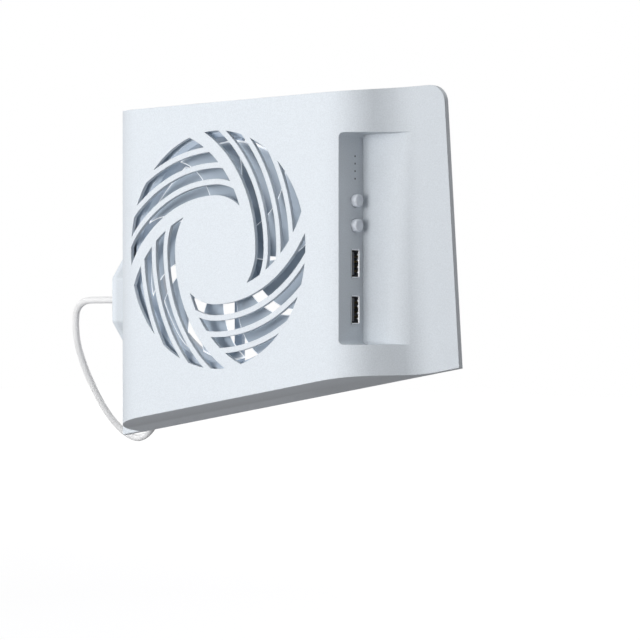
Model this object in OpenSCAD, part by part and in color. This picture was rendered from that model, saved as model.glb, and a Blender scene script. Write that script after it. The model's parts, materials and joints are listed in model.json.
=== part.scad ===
// Cooling fan panel for an upright game console, all lengths in millimetres.
// The fan axis is Y and the air leaves towards +Y, through the collar on the back cover.
// The origin is on the fan axis, in the plane of the collar's rim, with +Z up.

/* [Fan] */
// Width and height of the square fan frame
fan_size = 120; // [117:0.5:122]
// Thickness of the fan frame along its axis
fan_thick = 15; // [15:0.5:18]
// Wall of the frame where the round duct comes nearest to its edge
rim_w = 3; // [2.5:0.5:6]
// Distance of the frame's corner holes from its edges
hole_edge = 7.5; // [6.5:0.5:8.5]
// Number of rotor blades
blade_count = 9; // [5:1:10]
// Angle that one blade covers round the axis
blade_span = 37; // [26:1:38]
// Gap between the blade tips and the duct
tip_gap = 1.5; // [1:0.1:3]
// Thickness of a blade at its root
blade_root = 1.5; // [1.2:0.1:2]
// Thickness of a blade at its tip
blade_tip = 0.9; // [0.7:0.1:1.2]
// Radius of the rotor hub
hub_r = 21; // [20:0.5:24]
// Wall of the rotor hub
hub_wall = 1.6; // [1.2:0.1:2]
// Thickness of the struts and of the motor base
strut_h = 2.2; // [2:0.1:2.6]
// Width of a strut
strut_w = 5; // [4:0.5:7]
// Radius of the motor base
base_r = 19; // [17:0.5:20]

/* [Motor] */
// Radius of the shaft
shaft_r = 1.5; // [1.2:0.1:1.8]
// Radius of the sleeve bearing
bearing_r = 3; // [2.6:0.1:3.2]
// Wall of the bearing tube
tube_wall = 1.5; // [1.2:0.1:2]
// Wall of the steel yoke
yoke_wall = 0.9; // [0.7:0.1:1.2]
// Thickness of the ring magnet
magnet_wall = 2.2; // [1.8:0.1:2.6]
// Gap between the magnet and the core
air_gap = 0.6; // [0.4:0.1:0.8]
// Stack height of the core
core_h = 4; // [3:0.5:4.5]
// Running clearance of the shaft in its bearing
run_gap = 0.02; // [0.01:0.01:0.05]

/* [Grille] */
// Distance of the grille opening inside the frame's edge
grille_edge = 0.5; // [0:0.5:4]
// Radius of the blank centre
eye_r = 27.3; // [25:0.1:29]
// Width of a slot
slot_w = 5.4; // [4.6:0.1:6]
// Width of a bar between two slots
bar_w = 2.8; // [2.2:0.1:3.4]
// Distance from the fan axis to the centre of a slot's outer sweep
sweep_c = 40.9; // [38:0.1:44]
// Width of the band between two groups of slots
band_w = 6.6; // [5:0.1:8]

/* [Housing] */
// Wall of the front shell
wall = 2; // [1.6:0.1:2.4]
// Thickness of the back cover
cover_t = 2; // [1.8:0.1:3]
// Height of the outlet collar behind the back cover
collar_h = 3; // [2:0.5:5]
// Wall of the outlet collar
collar_wall = 3; // [2:0.5:4]
// Step by which the air outlet is wider than the duct
outlet_step = 1.5; // [0.5:0.5:2]
// Gap between the front wall and the fan frame
front_gap = 3; // [2:0.5:5]
// Height of the panel above the fan frame
head_room = 13.8; // [13.4:0.1:20]
// Depth of the panel's bottom edge below the fan axis
bottom_drop = 79.3; // [78:0.1:84]
// Lean of the top face, rising towards the rear
top_draft = 5; // [2:0.5:8]
// Rise of the bottom edge towards the right
bottom_tilt = 9.9; // [8:0.1:11]
// Lean of the underside
underside_draft = 8; // [5:0.5:9]
// Radius of the rounded left side
left_r = 30; // [28:0.5:36]
// Gap from the fan frame to the deepest point of the left side
left_room = 22.5; // [22:0.5:28]
// Width of the flange beside the left side at its foot
flange_w = 13.5; // [8:0.5:16]
// Width of that flange at its top
flange_top = 1.5; // [1:0.5:4]

/* [Step and wing] */
// Depth of the step from the fan face to the wing, at the panel's top
step_h = 20.2; // [20:0.1:22]
// Angle of the step's slope
slope_a = 47; // [44:0.5:47.5]
// Radius of the step's upper bend
shoulder_r = 33; // [26:0.5:34.5]
// Radius of the step's lower bend at the panel's top
foot_r = 27.5; // [20:0.5:29]
// Radius of the step's lower bend at the panel's foot
foot_low = 17.5; // [12:0.5:24]
// Distance from the top of the step to the recess wall
step_lead = 10.7; // [6:0.1:14]
// Lean of the wing's plane, further back at its foot
wing_tilt = 3.5; // [2:0.1:4.5]
// Width of the wing at the panel's top
wing_w = 14.1; // [12:0.1:24]
// Lean of the wing's free edge, wider at its foot
edge_lean = 1.3; // [0:0.1:4]
// Thickness of the wing, and of the flange that lies in its plane
edge_t = 2.8; // [2.4:0.1:3.4]
// Radius of the wing's top corner
corner_r = 8.5; // [4:0.5:14]

/* [Control recess] */
// Top of the recess above the fan axis
recess_top = 54.3; // [50:0.1:56]
// Bottom of the recess below the fan axis
recess_low = 46.8; // [44:0.1:47.5]
// Radius of the bend where the recess floor runs out on the wing
floor_r = 24; // [16:0.5:30]
// Corner radius of the recess
recess_r = 2.2; // [1:0.1:4]
// Depth of the controls' centre line behind the fan face
control_depth = 14.3; // [14:0.1:15]
// Width of the control board
board_w = 15; // [14.5:0.1:17]
// Thickness of the control board
board_t = 1.6; // [1.2:0.1:2]
// Diameter of a button cap
button_d = 6.2; // [5:0.1:7]
// How far a button stands out of the wall
button_proud = 3; // [2:0.1:4]
// Travel of a button
button_travel = 0.4; // [0.2:0.05:0.5]
// Height of the upper button
button_z_upper = 22.3; // [21:0.1:24]
// Height of the lower button
button_z_lower = 10.4; // [9:0.1:12]
// Height of the upper socket's centre
usb_z_upper = -7.9; // [-9:0.1:-6]
// Height of the lower socket's centre
usb_z_lower = -30.1; // [-31:0.1:-28]
// Height of the lowest indicator
lamp_z = 32.9; // [32:0.1:34]
// Pitch of the indicators
lamp_pitch = 3.6; // [3.2:0.1:3.8]
// Diameter of an indicator
lamp_d = 0.9; // [0.6:0.1:1.4]

/* [Cord] */
// Diameter of the supply cord
cord_d = 3.6; // [3:0.1:4]
// Diameter of the leads inside the housing
lead_d = 2; // [1.4:0.1:2.4]
// Height of the cord outlet boss at its flat end
outlet_flat = 23; // [16:1:30]
// Height of the cord outlet boss at its base
outlet_base = 46; // [38:1:60]
// How far the boss stands out past the left side
outlet_proud = 3.2; // [2.4:0.1:6]

/* [Hidden] */
$fn = 96;
// Clearance between pieces that seat in one another
nest = 0.05;
// Clearance of a window or hole round a piece that passes through it
pass_gap = 0.2;
// Length by which a cut passes the face it opens
over = 1;
// A length past every face of the part
far = 400;

// Planes along the fan axis, counted from the rim of the collar
cover_back = -collar_h;
cover_front = cover_back - cover_t;
fan_back = cover_front;
fan_front = fan_back - fan_thick;
face_in = fan_front - front_gap;
face_y = face_in - wall;
step_y = face_y + step_h;
// The recess floor is level; the wing beside it lies further back, so the floor bends down to it
floor_y = step_y + 0.2;
floor_back = floor_y + 3.2;
control_y = face_y + control_depth;

// Lines across the panel
fan_half = fan_size / 2;
duct_r = fan_half - rim_w;
outlet_r = duct_r + outlet_step;
grille_r = fan_half - grille_edge;
panel_top = fan_half + head_room;
board_gap = 1.3;
board_x = fan_half + board_gap;
wall_gap = 0.4;
recess_in = board_x + board_w + wall_gap;
recess_x = recess_in + wall;
shoulder_x = recess_x - step_lead;
left_x = -(fan_half + left_room);
// Centres of the rounded left side and of the step's upper bend
left_c = [left_x + left_r, face_y + left_r];
shoulder_c = [shoulder_x, face_y + shoulder_r];

// How much further back the wing's plane lies at a height than at the panel's top
function drop(z) = (panel_top - z) * tan(wing_tilt);
// Depth of the wing's plane at a height
function wing_y(z) = step_y + drop(z);
// Radius and centre of the lower bend at a height: it follows the slope as the wing's plane drops back
function bend_at(z) = foot_r + (foot_low - foot_r) * (panel_top - z) / (panel_top + bottom_drop);
function foot_at(z) = [slope_x(0, wing_y(z)) + bend_at(z) * tan(slope_a / 2), wing_y(z) - bend_at(z)];
foot_x = foot_at(panel_top)[0];
// The wing's free edge at a height
function edge_x(z) = foot_x + wing_w + (panel_top - z) * tan(edge_lean);
// Height of the panel's top at a depth, and of its bottom edge at a place across it
function top_z(y) = panel_top + (y - face_y) * tan(top_draft);
function bottom_z(x) = -bottom_drop + x * tan(bottom_tilt);
// Where the slope, t inside its outer face, leaves the upper bend
function slope_top(t) = shoulder_c + (shoulder_r - t) * [sin(slope_a), -cos(slope_a)];
// Where the slope, t inside its outer face, reaches a depth y
function slope_x(t, y) = slope_top(t)[0] + (y - slope_top(t)[1]) / tan(slope_a);
// Heights that clear the leaning top and underside before they are trimmed
crown = top_z(0) + wall;
sole = bottom_z(left_x - flange_w) - 3 * wall;
cover_gap = 0.5;
cover_left = left_c[0] - sqrt(pow(left_r - wall, 2) - pow(left_c[1] - cover_front, 2)) + cover_gap;
cover_right = slope_x(wall, cover_front) - cover_gap;

// Motor, from the rotor's front to the motor base
hub_front = fan_front + 0.5;
base_y = fan_back - strut_h;
hub_back = base_y - 0.8;
hub_in = hub_r - hub_wall;
yoke_r = hub_in - nest;
magnet_r = yoke_r - yoke_wall - nest;
core_r = magnet_r - magnet_wall - air_gap;
tube_r = bearing_r + nest + tube_wall;
yoke_front = hub_front + hub_wall + nest;
magnet_front = yoke_front + yoke_wall + nest;
tube_front = magnet_front + 1;
core_mid = (magnet_front + hub_back) / 2;
motor_board_t = 1;
coil_wrap = 1.4;
tip_r = duct_r - tip_gap;

// Controls: the board's front face, and the sockets standing on it
usb_w = 13.3;
usb_h = 5.9;
usb_skin = 0.4;
usb_deep = 14;
usb_proud = 0.3;
usb_x = recess_x + usb_proud - usb_deep;
board_front = control_y + usb_h / 2;
board_back = board_front + board_t;
board_low = usb_z_lower - usb_w / 2 - 8;
board_high = lamp_z + 3 * lamp_pitch + 8;
flange_t = 1;
switch_w = 6;
switch_t = 4;
plunger_r = 1.7;
plunger_out = 1;
switch_x = recess_in - nest - flange_t - plunger_out - nest - switch_t;
lamp_bar_t = 1.2;

// Fasteners: [x, z] of each case screw, on bosses between the fan and the edges
boss_r = 3;
boss_in = 5.5;
boss_low = 11.5;
corner_in = 1.5;
boss_left = left_x + 4.5 * boss_r;
boss_right = cover_right - 3 * boss_r;
case_spots = [
    [boss_left, panel_top - wall - boss_in - corner_in],
    [0, panel_top - wall - boss_in],
    [boss_right, panel_top - wall - boss_in - corner_in],
    [boss_left, bottom_z(boss_left) + boss_low + corner_in],
    [0, (bottom_z(0) - fan_half) / 2],
    [recess_x + 2.6 * boss_r, -(recess_low + wall + cover_gap + 2 * boss_r)]
];
case_screw_r = 1.3;
case_screw_len = 6;
fan_spots = [for (sx = [-1, 1], sz = [-1, 1]) [sx, sz] * (fan_half - hole_edge)];
fan_hole_r = 2.2;
fan_screw_len = 9;
post_in = 4;
post_end = 3.2;
board_spots = [[board_x + post_in, board_low + post_end],
    [board_x + board_w - post_in, board_high - post_end]];
board_screw_r = 0.8;
board_screw_len = 4;
board_post_r = 2.6;

// Hooks that hold the panel to the console: two by the left side, two by the recess
hook_leg = 9;
hook_w = 10;
hook_t = 2;
hook_toe = 4;
hook_left = left_x + 4 * hook_t;
hook_spots = [[hook_left, 0.7 * fan_half], [hook_left, -1.1 * fan_half],
    [fan_half + hook_w / 2, panel_top - hook_w], [fan_half + hook_toe, -recess_low + hook_toe]];

// Cord outlet and the free cord: the exit, the hanging bow, the way round to the plug
cord_r = cord_d / 2;
gland_r = cord_r + 0.8;
cord_y = cover_front - gland_r - 2 * pass_gap;
cord_z = -24.5;
outlet_x = left_x - outlet_proud;
outlet_front = cord_y - gland_r - 1.4;
outlet_back = cover_front + 1.7;
cord_end = [-68.9, 27, -78.6];
cord_route = [
    [outlet_x - 0.6, cord_y, cord_z], [-99.2, -8, -24.5], [-108.5, -8, -24.7], [-114.4, -7.5, -26.6],
    [-118.1, -6.8, -29.8], [-119.9, -6, -34.2], [-121, -5, -39.6], [-121.9, -3, -47.3], [-122.2, 0, -55],
    [-121.9, 4, -63.8], [-120.9, 8.5, -72.7], [-119.2, 13, -81.4], [-116.6, 17.5, -89.2],
    [-113.1, 21.5, -95.2], [-108.8, 24.3, -99], [-103.6, 26.2, -100.2], [-98, 27, -97.7],
    [-92.6, 27, -92.7], [-87.9, 27, -87.2], [-83.2, 27, -82.2], [-78.2, 27, -79.2], [-73, 27, -78.6],
    cord_end
];
plug_len = 18;
plug_w = 15;
plug_h = 7.6;
plug_shell_len = 12;
plug_shell_w = 12;
plug_shell_h = 4.5;
plug_skin = 0.35;
plug_x = cord_end[0] + plug_len;

// Leads inside: round the top of the fan to the board, and from the motor along one strut
lead_r = lead_d / 2;
socket_h = 4;
socket_w = 4;
supply_socket_z = board_high - 9;
fan_socket_z = usb_z_upper + usb_w / 2 + 0.5 + socket_w / 2;
lead_y = board_front - socket_h / 2;
socket_x = board_x + 5;
lead_lane = fan_half + 2;
supply_route = [
    [left_x + 2, cord_y, cord_z], [left_x + 8, cord_y, cord_z], [-lead_lane - 6, cord_y, cord_z + 1.5],
    [-lead_lane - 1, cord_y, cord_z + 8], [-lead_lane, cord_y, 0], [-lead_lane, cord_y, 30],
    [-lead_lane, cord_y, fan_half - 8], [-lead_lane + 0.6, cord_y, fan_half - 3],
    [-fan_half + 0.3, cord_y, fan_half - 0.3], [-fan_half + 3, cord_y, lead_lane - 0.6],
    [-fan_half + 8, cord_y, lead_lane], [-20, cord_y, lead_lane], [20, cord_y, lead_lane],
    [fan_half - 10, cord_y, lead_lane], [fan_half - 2, lead_y, lead_lane - 0.4],
    [fan_half + 3, lead_y, fan_half], [socket_x, lead_y, fan_half - 5],
    [socket_x, lead_y, supply_socket_z + socket_w / 2 + 3],
    [socket_x, lead_y, supply_socket_z + socket_w / 2 - 1]
];
fan_lead_r = 0.6;
fan_lead_y = base_y + 0.4 + fan_lead_r;
fan_lead_route = [
    [2 * bearing_r, fan_lead_y, 0], [fan_half / 2, fan_lead_y, 0], [duct_r - rim_w, fan_lead_y, 0],
    [fan_half - 2, lead_y + 2, 0], [fan_half + 1, lead_y + 0.3, 0],
    [fan_half + 2.6, lead_y, fan_socket_z - 0.3], [socket_x - socket_w / 2 + 1, lead_y, fan_socket_z]
];

// Carries a flat outline, drawn in X and Z, from depth y0 back to y1
module upright(y0, y1) {
    translate([0, y1, 0])
        rotate([90, 0, 0])
            linear_extrude(y1 - y0)
                children();
}

// Stands a round form made on the Z axis on the fan axis, with its base at depth y
module on_axis(y, spot = [0, 0]) {
    translate([spot[0], y, spot[1]])
        rotate([-90, 0, 0])
            children();
}

// Lays a form made on the Z axis along +X, with its base at the given place
module along_x(place) {
    translate(place)
        rotate([0, 90, 0])
            children();
}

// A tube between two radii
module ring(r_out, r_in, h) {
    difference() {
        cylinder(r = r_out, h = h);
        translate([0, 0, -over])
            cylinder(r = r_in, h = h + 2 * over);
    }
}

// A centred rectangle with round corners
module round_rect(w, h, r) {
    square([w - 2 * r, h], center = true);
    square([w, h - 2 * r], center = true);
    for (sx = [-1, 1], sz = [-1, 1])
        translate([sx * (w / 2 - r), sz * (h / 2 - r)])
            circle(r);
}

// A box given by its two opposite corners
module block(low, high) {
    translate(low)
        cube(high - low);
}

// A solid between two grids of points, each a list of columns from low to high
module slab(near_grid, far_grid) {
    n = len(near_grid) - 1;
    m = len(near_grid[0]) - 1;
    count = (n + 1) * (m + 1);
    points = concat([for (c = near_grid) each c], [for (c = far_grid) each c]);
    function at(side, i, j) = side * count + i * (m + 1) + j;
    function quad(a, b, c, d) = [[a, b, c], [a, c, d]];
    sheets = [for (i = [0:n - 1], j = [0:m - 1]) each concat(
        quad(at(0, i, j), at(0, i, j + 1), at(0, i + 1, j + 1), at(0, i + 1, j)),
        quad(at(1, i, j), at(1, i + 1, j), at(1, i + 1, j + 1), at(1, i, j + 1)))];
    sides = [for (j = [0:m - 1]) each concat(
        quad(at(1, 0, j), at(1, 0, j + 1), at(0, 0, j + 1), at(0, 0, j)),
        quad(at(0, n, j), at(0, n, j + 1), at(1, n, j + 1), at(1, n, j)))];
    ends = [for (i = [0:n - 1]) each concat(
        quad(at(0, i, m), at(1, i, m), at(1, i + 1, m), at(0, i + 1, m)),
        quad(at(0, i, 0), at(0, i + 1, 0), at(1, i + 1, 0), at(1, i, 0)))];
    polyhedron(points, concat(sheets, sides, ends));
}

function unit(v) = v / norm(v);
// Direction of a route at one of its points
function heading(route, i) = unit(route[min(i + 1, len(route) - 1)] - route[max(i - 1, 0)]);

// A tube swept along a route that never runs along Y, squared off at both ends
module tube(route, r, sides = 8) {
    last = len(route) - 1;
    points = [for (i = [0:last])
        let (t = heading(route, i), u = unit(cross(t, [0, 1, 0])), v = cross(u, t))
        for (k = [0:sides - 1])
            route[i] + r * (u * cos(360 * k / sides) + v * sin(360 * k / sides))];
    function at(i, k) = i * sides + k % sides;
    skin = [for (i = [0:last - 1], k = [0:sides - 1]) each [
        [at(i, k), at(i + 1, k), at(i + 1, k + 1)], [at(i, k), at(i + 1, k + 1), at(i, k + 1)]]];
    caps = [[for (k = [0:sides - 1]) at(0, k)], [for (k = [sides - 1:-1:0]) at(last, k)]];
    polyhedron(points, concat(skin, caps));
}

// Points along an arc, from one angle to another
function arc(c, r, from, to, steps) =
    [for (i = [0:steps]) let (a = from + (to - from) * i / steps) c + r * [cos(a), sin(a)]];

// A solid through outlines of as many points, drawn in X and Y at rising heights
module loft(outlines, heights) {
    n = len(outlines[0]);
    last = len(heights) - 1;
    points = [for (k = [0:last], p = outlines[k]) [p[0], p[1], heights[k]]];
    function at(k, i) = k * n + i % n;
    ends = [[for (i = [0:n - 1]) at(0, i)], [for (i = [n - 1:-1:0]) at(last, i)]];
    sides = [for (k = [0:last - 1], i = [0:n - 1]) each [
        [at(k, i), at(k + 1, i), at(k + 1, i + 1)], [at(k, i), at(k + 1, i + 1), at(k, i + 1)]]];
    polyhedron(points, concat(ends, sides));
}

// Everything behind the panel's front, t inside its outer face. The outer form runs on over the wing,
// the inner one ends at the step's foot.
module behind(t) {
    function tail(z) = t > 0 ? [[foot_at(z)[0], far]]
        : [[edge_x(z), wing_y(z)], [edge_x(z), far]];
    function outline(z) = concat(arc(left_c, left_r - t, 180, 270, 30),
        arc(shoulder_c, shoulder_r - t, 270, 270 + slope_a, 18),
        arc(foot_at(z), bend_at(z) + t, 90 + slope_a, 90, 14), tail(z), [[left_x + t, far]]);
    loft([outline(sole), outline(crown)], [sole, crown]);
}

// Everything ahead of the wing's leaning plane, moved back by t
module ahead(t) {
    translate([0, step_y + t, panel_top])
        rotate([wing_tilt, 0, 0])
            translate([-far / 2, -far, -far / 2])
                cube([far, far, far]);
}

// Everything under the panel's leaning underside, raised by t
module under(t) {
    translate([0, cover_back, -bottom_drop])
        rotate([0, -bottom_tilt, 0])
            rotate([-underside_draft, 0, 0])
                translate([-far / 2, -far / 2, t - far])
                    cube([far, far, far]);
}

// Everything over the panel's leaning top, lowered by t
module above(t) {
    translate([0, face_y, panel_top])
        rotate([top_draft, 0, 0])
            translate([-far / 2, -far / 2, -t])
                cube([far, far, far]);
}

// The recess grown by t on every closed side
module recess_outline(t) {
    w = foot_x + over - recess_x + t;
    h = recess_top + recess_low + 2 * t;
    translate([recess_x - t + w / 2, (recess_top - recess_low) / 2])
        round_rect(w, h, recess_r + t);
}

// What the recess takes away: level at first, then bending back until it meets the step's lower bend
module recess_cut() {
    rows = 10;
    heights = [for (j = [0:rows]) -recess_low - over + (recess_top + recess_low + 2 * over) * j / rows];
    left = recess_x - over;
    right = foot_x + 2 * over;
    function both(z) = floor_r + bend_at(z);
    function turn(z) = acos(1 - (wing_y(z) - nest - floor_y) / both(z));
    function outline(z) = let (a = turn(z), x = foot_at(z)[0] - both(z) * sin(a))
        concat([[left, -far], [right, -far], [right, floor_y + floor_r * (1 - cos(a))]],
            arc([x, floor_y + floor_r], floor_r, 270 + a, 270, 10), [[left, floor_y]]);
    intersection() {
        upright(-far / 2, far / 2)
            recess_outline(0);
        loft([for (z = heights) outline(z)], heights);
    }
}

// One slot of the swirl: a ring round the fan axis that runs on into a wider sweep
module slot(i) {
    r_in = eye_r + i * (slot_w + bar_w);
    reach = grille_r + bar_w;
    r_out = r_in + slot_w + bar_w > grille_r ? reach : r_in + slot_w;
    intersection() {
        union() {
            intersection() {
                difference() {
                    circle(r_out);
                    circle(r_in);
                }
                square(reach);
            }
            translate([0, -sweep_c])
                intersection() {
                    difference() {
                        circle(r_out + sweep_c);
                        circle(r_in + sweep_c);
                    }
                    translate([-2 * reach, 0])
                        square([2 * reach, 3 * reach]);
                }
        }
        circle(grille_r);
        translate([-sweep_c, 0])
            circle(eye_r + sweep_c - band_w);
    }
}

// The flange beside the left side, in the wing's plane
module flange() {
    difference() {
        upright(face_y, far / 2)
            polygon([[left_x - flange_w, sole], [left_c[0], sole], [left_c[0], crown],
                [left_x - flange_top, crown]]);
        ahead(0);
    }
}

// The cord outlet boss: a ridge with slanting ends across the left side
module outlet_boss() {
    soft = 3;
    flat = outlet_flat / 2;
    base = outlet_base / 2;
    translate([outlet_x, 0, cord_z])
        rotate([90, 0, 90])
            linear_extrude(left_c[0] - outlet_x)
                offset(r = soft)
                    offset(delta = -soft)
                        polygon([[outlet_front, -flat], [outlet_back, -base], [far / 4, -base],
                            [far / 4, base], [outlet_back, base], [outlet_front, flat]]);
}

// Screw bosses and board posts, from the front wall back to what they carry
module shell_posts() {
    intersection() {
        union() {
            for (s = case_spots)
                on_axis(face_y, s)
                    cylinder(r = boss_r, h = cover_front - face_y);
            for (s = board_spots)
                on_axis(face_y, s)
                    cylinder(r = board_post_r, h = board_front - face_y);
        }
        behind(wall / 2);
    }
}

module front_shell() {
    top_corner = top_z(step_y) - corner_r;
    color("aliceblue")
    difference() {
        union() {
            difference() {
                intersection() {
                    union() {
                        behind(0);
                        flange();
                        outlet_boss();
                    }
                    ahead(edge_t);
                }
                difference() {
                    behind(wall);
                    under(wall);
                    above(wall);
                    upright(face_y, floor_back)
                        recess_outline(wall);
                }
                under(0);
                above(0);
                upright(-far, far)
                    translate([edge_x(top_corner) - corner_r + nest / 2, top_corner])
                        difference() {
                            square(corner_r + over);
                            circle(corner_r);
                        }
            }
            difference() {
                shell_posts();
                under(wall / 2);
                above(wall / 2);
            }
        }
        recess_cut();
        upright(face_y - over, face_in + over)
            for (k = [0:3], i = [0:3])
                rotate(90 * k)
                    slot(i);
        for (z = [button_z_upper, button_z_lower])
            along_x([recess_in - over, control_y, z])
                cylinder(r = button_d / 2 + pass_gap, h = wall + 2 * over);
        for (z = [usb_z_upper, usb_z_lower])
            translate([recess_in + wall / 2, control_y, z])
                cube([wall + 2 * over, usb_h + 2 * pass_gap, usb_w + 2 * pass_gap], center = true);
        for (i = [0:3])
            along_x([recess_in - over, control_y, lamp_z + i * lamp_pitch])
                cylinder(r = lamp_d / 2 + nest, h = wall + 2 * over);
        for (s = case_spots)
            on_axis(cover_front - case_screw_len + cover_t, s)
                cylinder(r = case_screw_r + nest, h = case_screw_len);
        for (s = board_spots)
            on_axis(board_back - board_screw_len, s)
                cylinder(r = board_screw_r + nest, h = board_screw_len);
        along_x([outlet_x - over, cord_y, cord_z])
            cylinder(r = gland_r + nest, h = left_r);
    }
}

// A hook on the back cover: a leg that reaches past the shell's rear edge, a toe towards +X and a rib
module hook(spot) {
    leg = hook_leg + drop(spot[1]);
    w = hook_w;
    t = hook_t;
    toe = hook_toe;
    translate([spot[0], cover_back - nest, spot[1] - w / 2])
        linear_extrude(w)
            polygon([[0, 0], [t, 0], [t, leg - t], [t + toe, leg - t], [t + toe, leg - t / 2],
                [t + toe / 2, leg], [0, leg], [0, t], [-t, 0]]);
}

// Outline of the back cover in X and Z, inside the shell's walls, cut out behind the recess
module cover_outline() {
    notch = recess_in - cover_gap;
    high = top_z(cover_front) - wall - 2 * cover_gap;
    function low(x) = bottom_z(x) + wall + 2 * cover_gap;
    polygon([[cover_left, low(cover_left)], [cover_left, high], [cover_right, high],
        [cover_right, recess_top + wall + cover_gap], [notch, recess_top + wall + cover_gap],
        [notch, -recess_low - wall - cover_gap], [cover_right, -recess_low - wall - cover_gap],
        [cover_right, low(cover_right)]]);
}

module back_cover() {
    color("lightsteelblue")
    difference() {
        union() {
            upright(cover_front, cover_back)
                cover_outline();
            on_axis(cover_back - nest)
                cylinder(r = outlet_r + collar_wall, h = collar_h + nest);
            for (s = hook_spots)
                hook(s);
        }
        on_axis(cover_front - over)
            cylinder(r = outlet_r, h = cover_t + collar_h + 2 * over);
        for (s = case_spots)
            on_axis(cover_front - over, s)
                cylinder(r = case_screw_r + pass_gap, h = cover_t + 2 * over);
        for (s = fan_spots)
            on_axis(cover_front - over, s)
                cylinder(r = fan_hole_r + pass_gap, h = cover_t + 2 * over);
        for (s = board_spots)
            on_axis(cover_front - over, s)
                cylinder(r = board_post_r, h = over + cover_t / 2);
    }
}

// A screw driven from the rear: shank ahead of its pan head, which sits at depth y
module rear_screw(y, spot, r, len) {
    head_h = 1.2 * r;
    on_axis(y - len, spot)
        cylinder(r = r, h = len + nest);
    on_axis(y, spot)
        difference() {
            cylinder(r1 = 2 * r, r2 = 1.7 * r, h = head_h);
            translate([0, 0, head_h / 2])
                for (a = [0, 90])
                    rotate(a)
                        translate([-r, -r / 6, 0])
                            cube([2 * r, r / 3, head_h]);
        }
}

module case_screws() {
    color("dimgray")
        for (s = case_spots)
            rear_screw(cover_back, s, case_screw_r, case_screw_len);
}

module fan_screws() {
    color("dimgray")
        for (s = fan_spots)
            rear_screw(cover_back, s, fan_hole_r - nest, fan_screw_len);
}

module board_screws() {
    color("silver")
        for (s = board_spots)
            rear_screw(board_back, s, board_screw_r, board_screw_len);
}

module fan_frame() {
    lip = 2;
    color("lightslategray")
    difference() {
        union() {
            difference() {
                upright(fan_front, fan_back)
                    round_rect(fan_size, fan_size, 6);
                on_axis(fan_front - over)
                    cylinder(r = duct_r, h = fan_thick + 2 * over);
                on_axis(fan_front - nest)
                    cylinder(r1 = duct_r + lip, r2 = duct_r - nest, h = lip);
            }
            on_axis(base_y)
                cylinder(r = base_r, h = strut_h);
            for (a = [0:90:270])
                rotate([0, a, 0])
                    block([base_r - over, base_y, -strut_w / 2], [duct_r + lip, fan_back, strut_w / 2]);
            on_axis(tube_front)
                cylinder(r = tube_r, h = base_y - tube_front + nest);
        }
        on_axis(tube_front - over)
            cylinder(r = bearing_r + nest, h = fan_back - tube_front + 2 * over);
        for (s = fan_spots)
            on_axis(fan_front - over, s)
                cylinder(r = fan_hole_r, h = fan_thick + 2 * over);
        block([2 * bearing_r - nest, base_y + 0.3, -fan_lead_r - nest],
            [fan_half + over, fan_back + over, fan_lead_r + nest]);
        block([duct_r - rim_w, lead_y - fan_lead_r - pass_gap, -fan_lead_r - pass_gap],
            [fan_half + over, fan_back + over, fan_lead_r + pass_gap]);
    }
}

// One blade: a thin cambered sheet that leans back along the axis and sweeps forward to its tip
module blade() {
    steps = 8;
    rows = 8;
    root = hub_r - 0.6;
    front = hub_front + 0.8;
    back = base_y - 1.2;
    sweep = 16;
    function middle(s, q) =
        let (r = root + (tip_r - root) * q,
            a = blade_span * (s - 0.5) - sweep * q * q,
            fall = 0.5 - 0.5 * cos(180 * pow(s, 0.8)),
            shrink = 1 - 0.25 * q,
            y = (front + back) / 2 + (fall - 0.5) * (back - front - blade_root) * shrink)
        [r * sin(a), y, r * cos(a)];
    function half(s, q) = (blade_root + (blade_tip - blade_root) * q) / 2 * (0.35 + 0.65 * sin(180 * s));
    function column(i, side) = [for (j = [0:rows])
        middle(i / steps, j / rows) + [0, side * half(i / steps, j / rows), 0]];
    slab([for (i = [0:steps]) column(i, -1)], [for (i = [0:steps]) column(i, 1)]);
}

module fan_rotor() {
    shaft_in = hub_wall - 0.5;
    boss_h = 1.2;
    color("gainsboro")
    difference() {
        union() {
            on_axis(hub_front)
                difference() {
                    cylinder(r = hub_r, h = hub_back - hub_front);
                    translate([0, 0, hub_wall])
                        cylinder(r = hub_in, h = hub_back - hub_front);
                }
            on_axis(hub_front + hub_wall - nest)
                cylinder(r = 2 * shaft_r, h = boss_h);
            for (k = [0:blade_count - 1])
                rotate([0, 360 * k / blade_count, 0])
                    blade();
        }
        on_axis(hub_front + hub_wall - shaft_in)
            cylinder(r = shaft_r + nest / 2, h = shaft_in + boss_h + over);
        on_axis(hub_front + hub_wall)
            ring(hub_in, 2 * shaft_r, hub_back - hub_front);
    }
}

module rotor_yoke() {
    color("silver")
    on_axis(yoke_front)
        difference() {
            cylinder(r = yoke_r, h = hub_back - yoke_front - 0.4);
            translate([0, 0, yoke_wall])
                cylinder(r = yoke_r - yoke_wall, h = hub_back - yoke_front);
            translate([0, 0, -over])
                cylinder(r = 2 * shaft_r + nest, h = 2 * over + yoke_wall);
        }
}

module rotor_magnet() {
    color("#3a3a3c")
        on_axis(magnet_front)
            ring(magnet_r, magnet_r - magnet_wall, hub_back - magnet_front - 0.8);
}

// Axial places of the shaft's end, its clip and the bearing
shaft_front = hub_front + 0.5 + nest;
bearing_front = tube_front + 0.3;
bearing_len = base_y - 0.4 - bearing_front;
clip_front = base_y - 0.1;
clip_t = 0.4;
shaft_end = clip_front + clip_t + 0.6;
groove = 0.4;

module rotor_shaft() {
    color("lightgray")
    difference() {
        on_axis(shaft_front)
            cylinder(r = shaft_r, h = shaft_end - shaft_front);
        on_axis(clip_front - nest)
            ring(shaft_r + over, shaft_r - groove, clip_t + 2 * nest);
    }
}

module shaft_clip() {
    color("white")
    difference() {
        on_axis(clip_front)
            ring(bearing_r - 0.4, shaft_r - groove + nest, clip_t);
        block([0, clip_front - over, -0.4], [bearing_r, clip_front + clip_t + over, 0.4]);
    }
}

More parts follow.
